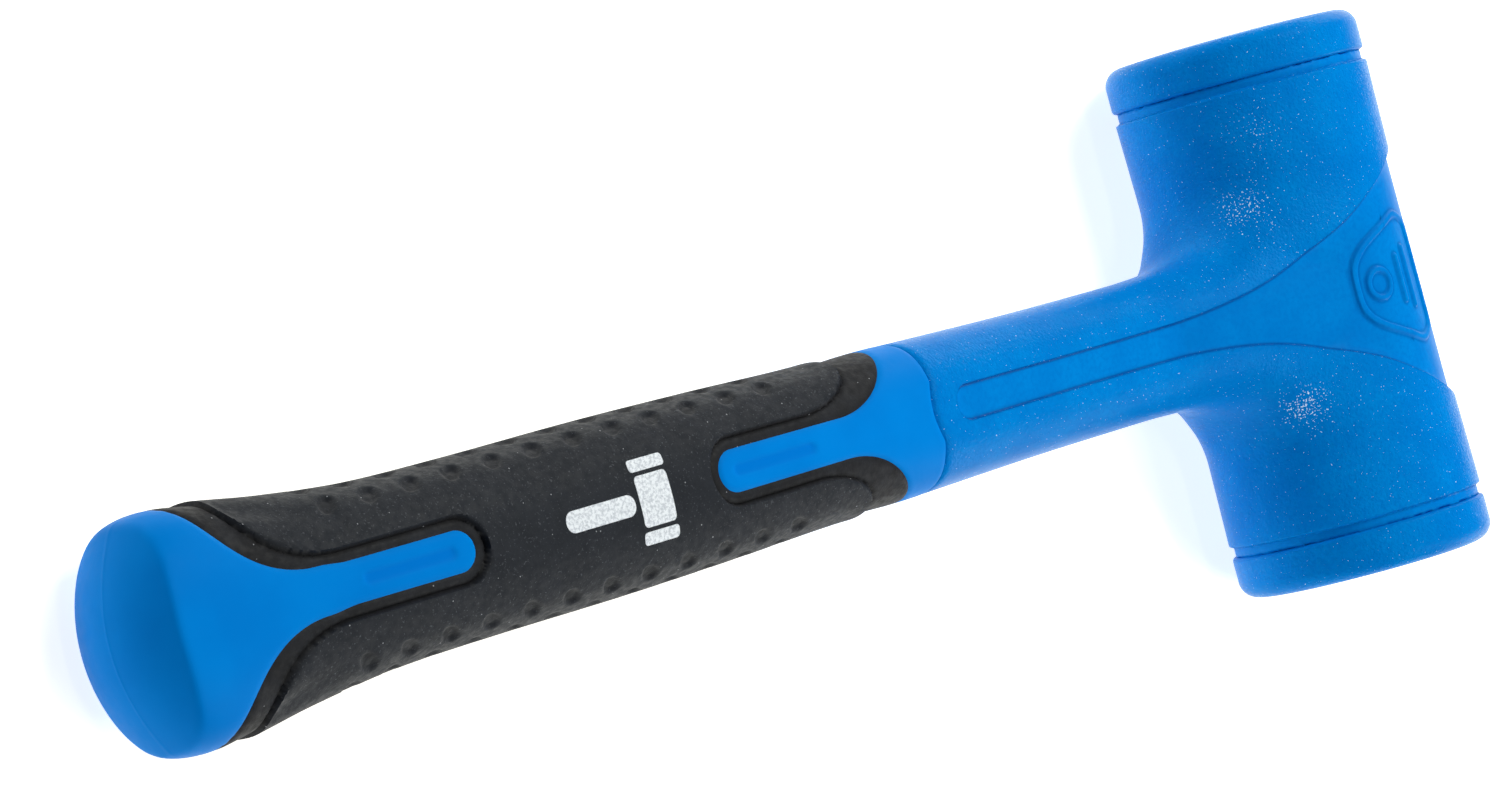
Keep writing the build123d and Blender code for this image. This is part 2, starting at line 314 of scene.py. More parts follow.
def jacket_finish():
    """Moulded blue elastomer with an orange-peel grain; the sunk panel and the grooves are smooth.

    The pale flecks are painted highlights, and the dark lines at the foot of the panel and the badge are
    painted shade.
    """
    f = Finish("blue_jacket_moulded", 0.36, specular=0.035, tint=BLUE_TINT)
    even = f.noise(9.0, detail=3.0)
    fine = f.noise(0.8, detail=2.0)
    tone = f.mix(f.ramp(even, 0.3, 0.7), linear(0, 119, 203), linear(0, 128, 210))
    tone = f.mix(f.ramp(fine, 0.35, 0.75, 0.0, 0.5), tone, linear(0, 110, 196))
    # painted shade: a dark line at the foot of the panel's wall and round the badge's raised lines
    tone = f.mix(f.math("MULTIPLY", f.attribute("line"), 0.7), tone, linear(0, 62, 140))
    # painted highlight: pale flecks for glints on the grain's tips, more of them at the glint centres
    denser = f.math("MULTIPLY", f.attribute("painted_glint_spots"), 0.15)
    glint_noise = f.math("ADD", f.noise(0.33, detail=1.5, rough=0.6), denser)
    polish = f.attribute("polish")
    grain = f.math("SUBTRACT", 1.0, polish)
    painted_sparkle = f.math("MULTIPLY", f.ramp(glint_noise, 0.72, 0.76), grain)
    f.colour(f.mix(painted_sparkle, tone, linear(205, 230, 248)))
    f.roughness(f.ramp(grain, 0.0, 1.0, 0.36, 0.26))
    f.bump(f.noise(0.5, detail=1.5), 0.13, f.ramp(grain, 0.0, 1.0, 0.1, 1.0))
    f.bump(f.noise(6.0, detail=2.0), 0.12)
    broken = f.ramp(f.noise(7.0, detail=1.0), 0.45, 0.65, 0.1, 1.0)
    f.bump(f.math("MULTIPLY", f.attribute("seam"), broken), 0.07)
    return f.material


def grip_blue_finish():
    """Smooth blue polypropylene of the handle core."""
    f = Finish("blue_grip_moulded", 0.42, specular=0.03, tint=BLUE_TINT)
    even = f.noise(14.0, detail=3.0)
    tone = f.mix(f.ramp(even, 0.3, 0.7), linear(0, 122, 210), linear(0, 128, 216))
    # painted shade: the sunk slots in the tongues are drawn darker
    f.colour(f.mix(f.attribute("hollow"), tone, linear(0, 116, 207)))
    f.roughness(f.ramp(f.noise(2.0, detail=4.0), 0.3, 0.7, 0.38, 0.48))
    f.bump(f.noise(0.9, detail=3.0), 0.015)
    f.bump(f.attribute("seam"), 0.05)
    return f.material


def rubber_finish():
    """Matt black rubber with a fine speckle and darker rims; the darker pits and the dark line at the pads'
    foot are painted shade.
    """
    f = Finish("black_grip_rubber", 0.62, specular=0.16)
    pad = f.attribute("pad")
    # the pads are lighter than the rims; the pad mask is lowered in the pits, so the darker pits are painted
    # shade
    base = f.mix(pad, linear(24, 24, 27), linear(28, 31, 37))
    cloud = f.ramp(f.noise(5.0, detail=4.0, rough=0.6), 0.35, 0.7, 0.0, 0.35)
    base = f.mix(cloud, base, linear(40, 43, 50))
    speck = f.ramp(f.noise(0.45, detail=2.0, rough=0.7), 0.60, 0.72, 0.0, 0.55)
    base = f.mix(f.math("MULTIPLY", speck, pad), base, linear(84, 86, 92))
    # painted shade: a dark line at the foot of the pads' wall
    base = f.mix(f.math("MULTIPLY", f.attribute("line"), 0.85), base, linear(5, 5, 7))
    dust = f.ramp(f.cells(2.6), 0.035, 0.055, 1.0, 0.0)
    f.colour(f.mix(f.math("MULTIPLY", dust, 0.55), base, linear(190, 192, 198)))
    f.roughness(f.ramp(f.noise(1.2, detail=3.0), 0.3, 0.7, 0.52, 0.7))
    f.bump(f.noise(0.4, detail=2.0), 0.05)
    f.bump(f.noise(3.0, detail=2.0), 0.05)
    return f.material


def print_finish():
    """Screen-printed white ink, slightly broken by the rubber's grain."""
    f = Finish("white_ink", 0.55, specular=0.3)
    grain = f.ramp(f.noise(0.5, detail=3.0, rough=0.7), 0.38, 0.58)
    f.colour(f.mix(grain, linear(196, 200, 208), linear(236, 239, 244)))
    f.bump(f.noise(0.4, detail=2.0), 0.04)
    return f.material


def metal_finish(name, dark, light, roughness, scratch):
    """Bare metal with drawn streaks and a little tarnish."""
    f = Finish(name, roughness, metallic=1.0)
    tarnish = f.noise(4.0, detail=4.0, rough=0.6)
    f.colour(f.mix(f.ramp(tarnish, 0.3, 0.7), dark, light))
    f.roughness(f.ramp(f.noise(1.5, detail=3.0), 0.3, 0.7, roughness - 0.08, roughness + 0.1))
    f.bump(f.noise(scratch, detail=3.0), 0.02)
    return f.material


def plug_finish():
    f = Finish("grey_plastic", 0.5, specular=0.4)
    f.colour(f.mix(f.noise(3.0, detail=3.0), linear(70, 72, 76), linear(92, 94, 98)))
    f.bump(f.noise(0.6), 0.02)
    return f.material


STEEL = metal_finish("drawn_steel", linear(120, 122, 126), linear(168, 170, 174), 0.35, 0.8)
WELD = metal_finish("weld_steel", linear(84, 78, 74), linear(132, 124, 118), 0.55, 1.6)
SHOT = metal_finish("steel_shot", linear(96, 98, 102), linear(150, 152, 156), 0.3, 0.5)
PLUG = plug_finish()
JACKET = jacket_finish()
GRIP_BLUE = grip_blue_finish()
RUBBER = rubber_finish()
INK = print_finish()

for node, material in {
    "canister_tube": STEEL,
    "canister_end_left": STEEL,
    "canister_end_right": STEEL,
    "canister_welds": WELD,
    "fill_plug": PLUG,
    "steel_shot": SHOT,
    "core_tube": STEEL,
    "core_weld": WELD,
    "joint_washer": STEEL,
    "retaining_pins": STEEL,
    "core_end_plug": PLUG,
}.items():
    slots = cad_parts[node].data.materials
    slots.clear()
    slots.append(material)


# ---------------------------------------------------------------- pieces
def make_piece(name, points, faces, material, marks=None):
    """A mesh in tool millimetres that rides on the mallet, with vertex attributes for its material."""
    mesh = bpy.data.meshes.new(name)
    mesh.from_pydata(placed(points).tolist(), [], faces)
    mesh.validate()
    for key, values in (marks or {}).items():
        mesh.attributes.new(key, "FLOAT", "POINT").data.foreach_set("value", np.asarray(values, np.float32))
    bm = bmesh.new()
    bm.from_mesh(mesh)
    bmesh.ops.remove_doubles(bm, verts=bm.verts, dist=1e-7)
    bmesh.ops.delete(bm, geom=[v for v in bm.verts if not v.link_faces], context="VERTS")
    bmesh.ops.recalc_face_normals(bm, faces=bm.faces)
    bm.to_mesh(mesh)
    bm.free()
    mesh.shade_smooth()
    mesh.set_sharp_from_angle(angle=SHARP_ANGLE)
    mesh.materials.append(material)
    piece = bpy.data.objects.new(name, mesh)
    bpy.context.scene.collection.objects.link(piece)
    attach(piece, "mallet")
    return piece


def graded(start, stop, bands, coarse, fine):
    """Positions from start to stop, closer together inside the bands."""
    marks = [start]
    while marks[-1] < stop:
        inside = any(low <= marks[-1] <= high for low, high in bands)
        marks.append(marks[-1] + (fine if inside else coarse))
    marks = np.array(marks)
    return start + (marks - start) * (stop - start) / (marks[-1] - start)


# ---- striking caps: turned profiles
CAP_OUTER_ROUND = 3.2
CAP_INNER_ROUND = 0.8
FACE_FLAT_RADIUS = 12.0
FACE_CROWN = 0.5
SPIGOT_END_Y = 37.5


def corner(centre_r, centre_y, radius, start, stop, steps):
    for step in range(steps + 1):
        a = radians(start + (stop - start) * step / steps)
        yield (centre_r + radius * cos(a), centre_y + radius * sin(a))


def cap_profile():
    """(radius, distance along the head) from the middle of the face to the middle of the spigot's end."""
    profile = [(0.0, FACE_Y)]
    profile += [(FACE_FLAT_RADIUS * i / 6, FACE_Y) for i in range(1, 7)]
    rim = SHOULDER_RADIUS - CAP_OUTER_ROUND
    for i in range(1, 10):
        r = FACE_FLAT_RADIUS + (rim - FACE_FLAT_RADIUS) * i / 10
        profile.append((r, FACE_Y - FACE_CROWN * (i / 10) ** 1.5 * 0.7))
    edge = FACE_Y - FACE_CROWN * 0.7
    profile += corner(rim, edge - CAP_OUTER_ROUND, CAP_OUTER_ROUND, 90, 0, 14)
    low = JACKET_END_Y + CAP_INNER_ROUND
    wall = edge - CAP_OUTER_ROUND
    profile += [(SHOULDER_RADIUS, wall + (low - wall) * i / 6) for i in range(1, 6)]
    profile += corner(SHOULDER_RADIUS - CAP_INNER_ROUND, low, CAP_INNER_ROUND, 0, -90, 6)
    profile += [(20.0, JACKET_END_Y), (BORE_RADIUS - 0.02, JACKET_END_Y)]
    profile += [(BORE_RADIUS - 0.02, SPIGOT_END_Y + 0.6), (BORE_RADIUS - 0.6, SPIGOT_END_Y)]
    profile += [(9.0, SPIGOT_END_Y), (0.0, SPIGOT_END_Y)]
    return profile


def striking_cap(side):
    turns = 180
    profile = cap_profile()
    points, faces = [], []
    for r, y in profile:
        for k in range(turns):
            a = 2 * pi * k / turns
            points.append((r * sin(a), side * y, r * cos(a)))
    for i in range(len(profile) - 1):
        for k in range(turns):
            n = (k + 1) % turns
            faces.append((i * turns + k, i * turns + n, (i + 1) * turns + n, (i + 1) * turns + k))
    name = "striking_cap_right" if side > 0 else "striking_cap_left"
    # the flange is grained on its rim and face and smooth only beside the groove
    none = np.zeros(len(points))
    polish = [0.0 if y > JACKET_END_Y + 0.4 else 1.0 for r, y in profile for k in range(turns)]
    marks = {"polish": polish, "seam": none, "line": none, "painted_glint_spots": none}
    piece = make_piece(name + "_turned", points, faces, JACKET, marks)
    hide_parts(name)


for side in (-1, 1):
    striking_cap(side)

# ---- head jacket: a fine skin laid over the CAD jacket, then drawn on to exact surfaces
VOXEL = 0.74
INSIDE_RATIO = 0.5
FINE_BANDS = (1.2, 0.62)
TUNNEL_START_X = -12.0
CROOK_BLEND = 5.5
TOP_BLEND = 1.2


def joint_bulge(y):
    """How far the wavy joint of neck and grip runs towards the butt."""
    return JOINT_BULGE * np.clip(1 - (y / JOINT_BULGE_HALF_WIDTH) ** 2, 0, 1)


def head_surface(x, y, z):
    along = np.abs(y)
    radius = WAIST_RADIUS + (SHOULDER_RADIUS - WAIST_RADIUS) * (along / SHOULDER_Y) ** 2
    radius = radius - GROOVE_DEPTH * smooth((along - SHOULDER_Y + 0.18) / 0.36)
    return soft_max(np.hypot(x, z) - radius, along - JACKET_END_Y, 0.2)


def neck_surface(x, y, z):
    half_width = through(NECK_STATIONS, x, 1)
    half_thickness = through(NECK_STATIONS, x, 2)
    reach = np.maximum(np.hypot(y, z), 1e-6)
    ratio = ((np.abs(y) / half_width) ** SECTION_POWER + (np.abs(z) / half_thickness) ** SECTION_POWER) ** (
        1 / SECTION_POWER
    )
    side = reach * (1 - 1 / np.maximum(ratio, 1e-3))
    end = (JOINT_X - joint_bulge(y)) - x
    return soft_max(np.maximum(side, x), end, 1.6)


def jacket_skin(p):
    """Signed distance to the jacket's outside, before the sunk panel."""
    x, y, z = p.T
    blend = TOP_BLEND + (CROOK_BLEND - TOP_BLEND) * smooth((np.abs(y) - 6.0) / 6.0)
    return soft_min(head_surface(x, y, z), neck_surface(x, y, z), blend)


def slope_of(field, p, step=0.02):
    slopes = []
    for axis in range(3):
        shift = np.zeros(3)
        shift[axis] = step
        slopes.append((field(p + shift) - field(p - shift)) / (2 * step))
    return np.stack(slopes, 1)


def settle(field, p, steps):
    """Moves points on to the zero of a field."""
    for _ in range(steps):
        value = field(p)
        grad = slope_of(field, p)
        size = np.maximum((grad**2).sum(1), 0.2)
        move = -(value / size)[:, None] * grad
        length = np.linalg.norm(move, axis=1, keepdims=True)
        p = p + move * np.minimum(1, 0.5 / np.maximum(length, 1e-9))
    return p


def panel_inside(p):
    """Distance inside the sunk panel's edge, in plan."""
    x, y = p[:, 0], np.abs(p[:, 1])
    half = through(PANEL_STATIONS, x, 1)
    lean = (through(PANEL_STATIONS, x + 0.5, 1) - through(PANEL_STATIONS, x - 0.5, 1)).clip(-1, 1)
    strip = (half - y) / np.sqrt(1 + lean**2)
    tip = PANEL_TIP_RADIUS - np.hypot(x - PANEL_TIP_X, y)
    return np.where(x < PANEL_TIP_X, tip, strip)


def panel_floor(p):
    """Height above the panel's floor: flat along the neck, a plane ramp, then round the crown."""
    x, z = p[:, 0], np.abs(p[:, 2])
    rise = (RAMP_HIGH[1] - RAMP_LOW[1]) / (RAMP_HIGH[0] - RAMP_LOW[0])
    ramp = (z - RAMP_LOW[1] - rise * (x - RAMP_LOW[0])) / hypot(1, rise)
    crown = np.hypot(x, p[:, 2]) - PANEL_CROWN_RADIUS
    skin = jacket_skin(p)
    floor = np.where(x > RAMP_HIGH[0], crown, np.where(x > RAMP_LOW[0], ramp, skin + PANEL_DEPTH))
    return np.maximum(floor, skin + PANEL_LEAST_DEPTH)


BADGE = (
    (10.4, -9.6),
    (10.4, 9.6),
    (6.2, 11.6),
    (-5.0, 7.0),
    (-7.6, 4.0),
    (-7.6, -4.0),
    (-5.0, -7.0),
    (6.2, -11.6),
)
BADGE_RIDGE = 0.55
BADGE_HEIGHT = 0.42
BADGE_SHARPNESS = 1.6
# where the painted highlights, pale flecks for the grain's glints, are thicker: middle, radius and share
PAINTED_GLINT_CENTRES = (
    (-19.8, 18.5, 10.8, 4.8, 0.9),
    (-19.2, -16.4, 12.0, 4.2, 1.4),
    (-16.8, 31.0, 15.1, 4.5, 0.5),
)


def rounded_badge(x, y):
    """Signed distance to the badge's outline: a soft maximum over its edges rounds the corners."""
    shape = np.array(BADGE, float)
    total = np.zeros(len(x))
    for a, b in zip(shape, np.roll(shape, -1, 0)):
        along = (b - a) / np.linalg.norm(b - a)
        out = np.array((along[1], -along[0]))
        if out @ (shape.mean(0) - a) > 0:
            out = -out
        total += np.exp(((x - a[0]) * out[0] + (y - a[1]) * out[1]) * BADGE_SHARPNESS)
    return np.log(total) / BADGE_SHARPNESS


def bar(x, y, centre_x, half_x, half_y, radius):
    """Signed distance to a rounded bar across the middle line."""
    dx = np.abs(x - centre_x) - half_x + radius
    dy = np.abs(y) - half_y + radius
    return np.hypot(np.maximum(dx, 0), np.maximum(dy, 0)) + np.minimum(np.maximum(dx, dy), 0) - radius


def badge_symbol(x, y):
    """A generic mark: a ring below two bars."""
    ring = np.abs(np.hypot(x + 2.6, y) - 2.5) - 0.5
    bars = np.minimum(bar(x, y, 3.2, 0.55, 4.4, 0.5), bar(x, y, 6.1, 0.55, 5.6, 0.5))
    return np.minimum(ring, bars)


def badge_relief(p):
    """Distance outside the badge's raised lines, in plan."""
    x, y = p[:, 0], p[:, 1]
    return np.minimum(np.abs(rounded_badge(x, y)) - BADGE_RIDGE, badge_symbol(x, y))


def badge_height(p):
    return BADGE_HEIGHT * smooth(0.5 - badge_relief(p) / 0.5)


def panel_profile(inside):
    """Share of the panel's depth at a distance inside its edge: a steep wall, then a wide hollow foot."""
    wall = np.clip(inside / PANEL_WALL_WIDTH, 0, 1)
    foot = 1 - (1 - np.clip((inside - PANEL_WALL_WIDTH) / PANEL_FOOT_WIDTH, 0, 1)) ** 2
    return PANEL_WALL_SHARE * wall + (1 - PANEL_WALL_SHARE) * foot


def is_outer(p):
    """Vertices on the jacket's outside, not in its bores."""
    across = np.hypot(p[:, 0], p[:, 2])
    core = np.hypot(p[:, 1], p[:, 2])
    x = p[:, 0]
    bore = (across < BORE_RADIUS + 1.0) & (np.abs(p[:, 1]) < JACKET_END_Y + 1) & (x > -BORE_RADIUS - 1)
    tunnel = (core < SEAT_RADIUS + 0.8) & (x < TUNNEL_START_X) & (x > JOINT_X + 0.7)
    tunnel |= (core < SEAT_RADIUS - 0.4) & (x < TUNNEL_START_X)
    return ~(bore | tunnel)


def remeshed(node, voxel):
    """A voxel copy of a CAD node's mesh."""
    copy = bpy.data.objects.new(node + "_skin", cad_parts[node].data.copy())
    bpy.context.scene.collection.objects.link(copy)
    modifier = copy.modifiers.new("remesh", "REMESH")
    modifier.mode = "VOXEL"
    modifier.voxel_size = voxel * MM
    bpy.context.view_layer.update()
    mesh = bpy.data.meshes.new_from_object(copy.evaluated_get(bpy.context.evaluated_depsgraph_get()))
    bpy.data.objects.remove(copy)
    return mesh


def thinned(mesh, keep, ratio):
    """Collapses the faces away from the vertices in keep."""
    copy = bpy.data.objects.new("thin", mesh)
    bpy.context.scene.collection.objects.link(copy)
    group = copy.vertex_groups.new(name="thin")
    group.add(np.flatnonzero(~keep).tolist(), 1.0, "REPLACE")
    modifier = copy.modifiers.new("thin", "DECIMATE")
    modifier.ratio = ratio
    modifier.vertex_group = "thin"
    bpy.context.view_layer.update()
    result = bpy.data.meshes.new_from_object(copy.evaluated_get(bpy.context.evaluated_depsgraph_get()))
    bpy.data.objects.remove(copy)
    return result


def tool_points(mesh):
    flat = np.zeros(len(mesh.vertices) * 3)
    mesh.vertices.foreach_get("co", flat)
    return in_tool(flat.reshape(-1, 3))


def refine(bm, chosen):
    """Splits the chosen faces in four."""
    edges = {e for f in bm.faces if chosen[f.index] for e in f.edges}
    bmesh.ops.subdivide_edges(bm, edges=list(edges), cuts=1, use_grid_fill=True)
    bm.verts.ensure_lookup_table()
    bm.faces.ensure_lookup_table()
    bm.verts.index_update()
    bm.faces.index_update()


def bm_points(bm):
    return in_tool(np.array([v.co for v in bm.verts]))


def face_centres(bm):
    return in_tool(np.array([f.calc_center_median() for f in bm.faces]))


def snap_to(field, p, near):
    """Draws the vertices near a line field = 0 on to that line, in plan."""
    close = np.abs(field(p)) < near
    for _ in range(2):
        grad = slope_of(field, p)[:, :2]
        size = np.maximum((grad**2).sum(1), 0.1)
        move = -(field(p) / size)[:, None] * grad
        p[close, :2] += move[close]
    return p, close


def jacket_mesh():
    """The jacket's even skin, finer along the panel's edge, the badge and the shoulders."""
    mesh = remeshed("head_jacket", VOXEL)
    p = tool_points(mesh)
    outer = is_outer(p)
    p[outer] = settle(jacket_skin, p[outer], 6)
    mesh.vertices.foreach_set("co", placed(p).ravel())
    mesh.update()
    mesh = thinned(mesh, outer, INSIDE_RATIO)
    bm = bmesh.new()
    bm.from_mesh(mesh)
    bm.verts.ensure_lookup_table()
    bm.faces.ensure_lookup_table()
    for band in FINE_BANDS:
        c = face_centres(bm)
        inside = panel_inside(c)
        badge = (np.abs(badge_relief(c)) < band * 0.7) & (np.abs(c[:, 2]) > 15)
        edge = np.abs(inside - 0.2) < band * 0.75
        shoulder = np.abs(np.abs(c[:, 1]) - SHOULDER_Y) < band * 0.6
        refine(bm, is_outer(c) & (edge | badge | shoulder))
    return bm


def head_jacket():
    bm = jacket_mesh()
    p = bm_points(bm)
    outer = is_outer(p)
    q = settle(jacket_skin, p[outer], 3)
    taken = np.zeros(len(q), bool)
    for level in (0.0, PANEL_WALL_WIDTH):
        moved, close = snap_to(lambda s: panel_inside(s) - level, q.copy(), 0.10)
        close &= ~taken
        q[close] = moved[close]
        taken |= close
    q = settle(jacket_skin, q, 2)
    inside = panel_inside(q)
    share = np.where(inside > 0, panel_profile(inside), 0.0)
    floor = panel_floor(q)
    grad = slope_of(jacket_skin, q)
    grad /= np.maximum(np.linalg.norm(grad, axis=1, keepdims=True), 1e-6)
    q = q - (share * floor)[:, None] * grad
    raised = badge_height(q) * (inside > 1.0) * (np.abs(q[:, 2]) > 12)
    q = q + raised[:, None] * grad
    p[outer] = q
    polish = np.zeros(len(p))
    polish[outer] = smooth(inside / 0.4)
    along = np.abs(p[:, 1])
    polish = np.maximum(polish, smooth((along - SHOULDER_Y) / 0.3))
    seam = np.zeros(len(p))
    seam[outer] = np.exp(-((p[outer][:, 2] / 0.35) ** 2)) * (p[outer][:, 0] < -14)
    # painted shade: the dark line along the panel's wall and at the foot of the badge's lines
    line = np.zeros(len(p))
    foot = 0.55 * np.exp(-(((badge_relief(q) - 0.35) / 0.22) ** 2)) * (inside > 1.0) * (np.abs(q[:, 2]) > 12)
    line[outer] = np.maximum(np.exp(-(((inside - 0.22) / 0.24) ** 2)), foot)
    # painted highlight: where the pale glint flecks are thicker
    painted_glint_spots = np.zeros(len(p))
    for *at, size, share in PAINTED_GLINT_CENTRES:
        painted_glint_spots[outer] += share * np.exp(-((np.linalg.norm(q - at, axis=1) / size) ** 2))
    faces = [[v.index for v in f.verts] for f in bm.faces]
    bm.free()
    marks = {"polish": polish, "seam": seam, "line": line, "painted_glint_spots": painted_glint_spots.clip(0, 1)}
    piece = make_piece("head_jacket_moulded", p, faces, JACKET, marks)
    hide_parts("head_jacket")


head_jacket()

# ---- grip: one grid of the whole skin, split along the sleeve's edge into core and sleeve
GIRTH = 13.3
SIDE_W = GIRTH * pi / 2
FRONT_NOSE = (-129.4, 20.9, 17.15)
FRONT_TIP = (-155.1, 3.75)
REAR_FLARE = (-242.0, 24.0, 20.0)
REAR_TIP = (-215.2, 3.5)
PAD_NOSE = (-137.5, 14.0, 14.4, 8.3)
PAD_FRONT_TIP = (-155.1, 5.7)
PAD_TAIL = (-237.5, 17.0, 17.0, 11.7)
PAD_REAR_TIP = (-215.1, 5.3)
MIDDLE_X = -185.0
PAD_HEIGHT = 0.7
PAD_WALL = 0.5
DIMPLE_PITCH = 8.5
DIMPLE_COUNT = 12
DIMPLE_FIRST_X = -141.2
DIMPLE_DEPTH = 0.68
DIMPLE_SLANT = 38
# distance from the middle line, half length and half width of the pits in each row
DIMPLE_ROWS = ((12.6, 2.6, 1.5), (18.0, 2.9, 1.6))
HOLLOW_ENDS = (-253.0, 15.0, -236.0, 10.6)
SLOTS = ((-154.5, -137.6), (-233.1, -216.7))


def skin_point(x, psi, grow=0.0):
    """Point on the grip's skin at polar angle psi from +Z."""
    half_width = through(GRIP_STATIONS, x, 1) + grow
    half_thickness = through(GRIP_STATIONS, x, 2) + grow
    s, c = np.sin(psi), np.cos(psi)
    reach = ((np.abs(s) / half_width) ** SECTION_POWER + (np.abs(c) / half_thickness) ** SECTION_POWER) ** (
        -1 / SECTION_POWER
    )
    return reach * s, reach * c


def folded(psi):
    """Developed distance from the nearer middle line of the two broad sides, 0 to SIDE_W."""
    turn = np.abs(np.mod(psi + pi / 2, pi) - pi / 2)
    return GIRTH * turn


def strip_gap(x, w, tip, outward):
    """Distance outside a round-ended strip that runs from its tip towards outward (+1 or -1 along X)."""
    return np.hypot(np.minimum((x - tip[0]) * outward, 0), w) - tip[1]


def sleeve_inside(x, w):
    """Distance inside the black sleeve's edge, in the developed plane."""
    nose_x, nose_w, nose_r = FRONT_NOSE
    front = np.where(x > nose_x, nose_r - np.hypot(x - nose_x, w - nose_w), strip_gap(x, w, FRONT_TIP, 1))
    flare_x, flare_w, flare_r = REAR_FLARE
    strip = strip_gap(x, w, REAR_TIP, -1) - 0.5 * smooth((-236.0 - x) / 6.0)
    rear = np.where(x < flare_x, flare_r - np.hypot(x - flare_x, w - flare_w), strip)
    return np.where(x > MIDDLE_X, front, rear)


def oval_inside(x, w, oval):
    centre_x, centre_w, half_x, half_w = oval
    u, v = (x - centre_x) / half_x, np.minimum(w - centre_w, 0) / half_w
    f = np.maximum(np.hypot(u, v), 1e-6)
    lean = np.hypot(u / half_x, v / half_w) / f
    return (1 - f) / np.maximum(lean, 1e-6)


def pad_inside(x, w):
    """Distance inside the raised pad's edge, in the developed plane."""
    front = np.where(x > PAD_NOSE[0], oval_inside(x, w, PAD_NOSE), strip_gap(x, w, PAD_FRONT_TIP, 1))
    rear = np.where(x < PAD_TAIL[0], oval_inside(x, w, PAD_TAIL), strip_gap(x, w, PAD_REAR_TIP, -1))
    return np.where(x > MIDDLE_X, front, rear)


def dimple_depth(x, w):
    """Slanted oval pits in two rows along each shoulder of the pads."""
    depth = np.zeros_like(x)
    slant = radians(DIMPLE_SLANT)
    for row_w, long_half, short_half in DIMPLE_ROWS:
        station = np.round((DIMPLE_FIRST_X - x) / DIMPLE_PITCH)
        station = np.clip(station, 0, DIMPLE_COUNT - 1)
        u = x - (DIMPLE_FIRST_X - station * DIMPLE_PITCH)
        v = w - row_w
        a = (u * cos(slant) + v * sin(slant)) / long_half
        b = (-u * sin(slant) + v * cos(slant)) / short_half
        depth = np.maximum(depth, 1 - smooth((np.hypot(a, b) - 0.62) / 0.42))
    return depth


def hollow_depth(x, w):
    """The soft S-shaped hollow where the pads run out towards the butt."""
    ax, aw, bx, bw = HOLLOW_ENDS
    t = np.clip(((x - ax) * (bx - ax) + (w - aw) * (bw - aw)) / ((bx - ax) ** 2 + (bw - aw) ** 2), 0, 1)
    away = np.hypot(x - ax - t * (bx - ax), w - aw - t * (bw - aw))
    return np.exp(-((away / 2.0) ** 2)) * (1 - 0.6 * t)


def slot_inside(x, w):
    best = np.full_like(x, -1e3)
    for rear, front in SLOTS:
        t = np.clip(x, rear, front)
        best = np.maximum(best, 1.0 - np.hypot(x - t, w))
    return best


def skin_height(x, w):
    """Relief above the grip's even skin."""
    sleeve = sleeve_inside(x, w)
    pad = pad_inside(x, w)
    height = PAD_HEIGHT * smooth(pad / PAD_WALL) * (sleeve > 0)
    height -= 0.34 * np.exp(-(((pad + 0.1) / 0.26) ** 2)) * (sleeve > 0.3)
    height -= 0.24 * np.exp(-((sleeve / 0.28) ** 2))
    height -= DIMPLE_DEPTH * dimple_depth(x, w) * smooth(pad / 1.5)
    height -= 0.65 * hollow_depth(x, w) * smooth(pad / 1.2)
    height -= 0.28 * np.exp(-(((w - 15.0) / 2.6) ** 2)) * smooth((pad - 0.5) / 4)
    height -= 0.22 * smooth(0.5 + slot_inside(x, w) / 0.8) * (sleeve < 0)
    return height


def dome_x(y, z):
    """The butt's domed end."""
    return BUTT_TIP_X + y**2 / (2 * BUTT_PLAN_RADIUS) + z**2 / (2 * BUTT_SIDE_RADIUS)


def crease_x(psi):
    """Where the skin meets the dome of the butt."""
    x = np.full_like(psi, BUTT_TIP_X + 4)
    for _ in range(30):
        y, z = skin_point(x, psi)
        x = 0.5 * x + 0.5 * dome_x(y, z)
    return x


def grid_slope(field, x, w, step=0.02):
    gx = (field(x + step, w) - field(x - step, w)) / (2 * step)
    gw = (field(x, w + step) - field(x, w - step)) / (2 * step)
    return gx, gw


def nearer_ends(value, taken):
    """Grid vertices that are the nearer end of an edge which crosses zero."""
    chosen = np.zeros(value.shape, bool)
    for axis in (0, 1):
        other = np.roll(value, -1, axis)
        cross = value * other < 0
        if axis == 0:
            cross[-1] = False
        mine = cross & (np.abs(value) <= np.abs(other))
        chosen |= mine
        chosen |= np.roll(cross & ~mine, 1, axis)
    return chosen & ~taken


def grip_grid():
    bands = ((0.0, 1.5), (3.0, 6.4), (10.6, 19.8))
    quarter = graded(0.0, SIDE_W, bands, 0.62, 0.42) / GIRTH
    psi = np.concatenate((quarter[:-1], pi - quarter[:0:-1], pi + quarter[:-1], 2 * pi - quarter[:0:-1]))
    share = graded(0.0, 1.0, ((0.19, 0.83),), 0.58 / 163, 0.455 / 163)
    y, z = skin_point(np.full_like(psi, JOINT_X), psi)
    start = JOINT_X - joint_bulge(y)
    stop = crease_x(psi)
    x = start + (stop - start) * share[:, None]
    psi = np.broadcast_to(psi, x.shape).copy()
    return x, psi


def snap_grid(x, psi):
    """Draws grid vertices on to the sleeve's edge and the foot and top of the pad's wall."""
    taken = np.zeros(x.shape, bool)
    on_edge = None
    fields = (sleeve_inside, pad_inside, lambda a, b: pad_inside(a, b) - PAD_WALL)
    for field in fields:
        chosen = nearer_ends(field(x, folded(psi)), taken)
        chosen[0] = chosen[-1] = False
        for _ in range(3):
            w = folded(psi)
            value = field(x, w)
            gx, gw = grid_slope(field, x, w)
            size = np.maximum(gx**2 + gw**2, 0.05)
            step_x, step_w = -value * gx / size, -value * gw / size
            side = np.sign(np.sin(2 * psi))
            x = np.where(chosen, x + np.clip(step_x, -0.4, 0.4), x)
            psi = np.where(chosen, psi + np.clip(step_w, -0.4, 0.4) / GIRTH * side, psi)
        taken |= chosen
        if on_edge is None:
            on_edge = chosen
    return x, psi, on_edge


